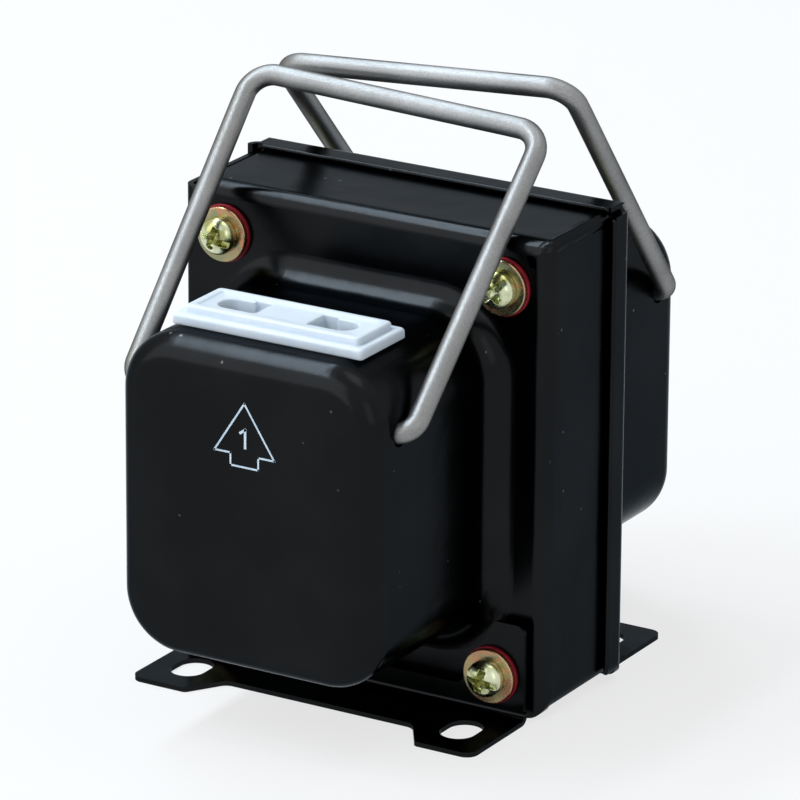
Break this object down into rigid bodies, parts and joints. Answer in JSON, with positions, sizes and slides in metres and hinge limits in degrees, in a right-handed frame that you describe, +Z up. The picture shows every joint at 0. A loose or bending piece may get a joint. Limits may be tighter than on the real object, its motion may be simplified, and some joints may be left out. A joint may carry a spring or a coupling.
{
  "type": "step-up transformer",
  "caption": "Bench transformer: laminated core clamped between two drawn steel covers, each with a moulded socket on top and a wire bail, standing on two bent sheet feet.",
  "frame": {"origin": "on the bench, under the middle of the part", "axes": "+X to the right, +Y to the rear, +Z up; the print-side cover faces -Y"},
  "size_m": [0.0696, 0.0956, 0.0989],
  "materials": {
    "black_enamel": "semi-gloss black baked enamel on steel sheet",
    "core_steel": "varnished silicon steel laminations",
    "bobbin_nylon": "natural nylon",
    "fuse_case": "pale moulded case",
    "yellow_zinc": "yellow chromated zinc plate",
    "sleeve_tube": "hard insulating tube",
    "red_fibre": "red vulcanised fibre",
    "spring_steel": "zinc plated spring steel",
    "stainless_wire": "bright drawn stainless steel wire",
    "white_plastic": "white moulded plastic",
    "contact_brass": "pressed brass strip",
    "lead_insulation": "black insulated wire",
    "enamelled_copper": "enamelled copper wire",
    "insulation_paper": "insulating paper",
    "wrap_tape": "yellow polyester tape"
  },
  "bodies": {
    "transformer": {"front_cover": "black_enamel", "rear_cover": "black_enamel", "core_e_laminations": "core_steel", "core_i_laminations": "core_steel", "bobbin": "bobbin_nylon", "thermal_fuse": "fuse_case", "clamp_screws": "yellow_zinc", "screw_sleeves": "sleeve_tube", "front_washers": "yellow_zinc", "front_fibre_washers": "red_fibre", "rear_fibre_washers": "red_fibre", "rear_washers": "yellow_zinc", "lock_washers": "spring_steel", "hex_nuts": "yellow_zinc", "foot_spacers": "red_fibre", "front_foot_bracket": "black_enamel", "rear_foot_bracket": "black_enamel", "front_socket": "white_plastic", "rear_socket": "white_plastic", "front_contacts": "contact_brass", "rear_contacts": "contact_brass", "front_leads": "lead_insulation", "rear_leads": "lead_insulation", "inner_winding": "enamelled_copper", "layer_paper": "insulation_paper", "outer_winding": "enamelled_copper", "coil_wrap": "wrap_tape"},
    "front_bail": {"front_bail": "stainless_wire"},
    "rear_bail": {"rear_bail": "stainless_wire"}
  },
  "joints": [
    {"name": "front_bail_hinge", "type": "hinge", "parent": "transformer", "child": "front_bail", "pos_m": [0, -0.0407, 0.05465], "axis": [1, 0, 0], "range_deg": [0, 204]},
    {"name": "rear_bail_hinge", "type": "hinge", "parent": "transformer", "child": "rear_bail", "pos_m": [0, 0.0407, 0.05465], "axis": [-1, 0, 0], "range_deg": [0, 200]}
  ]
}
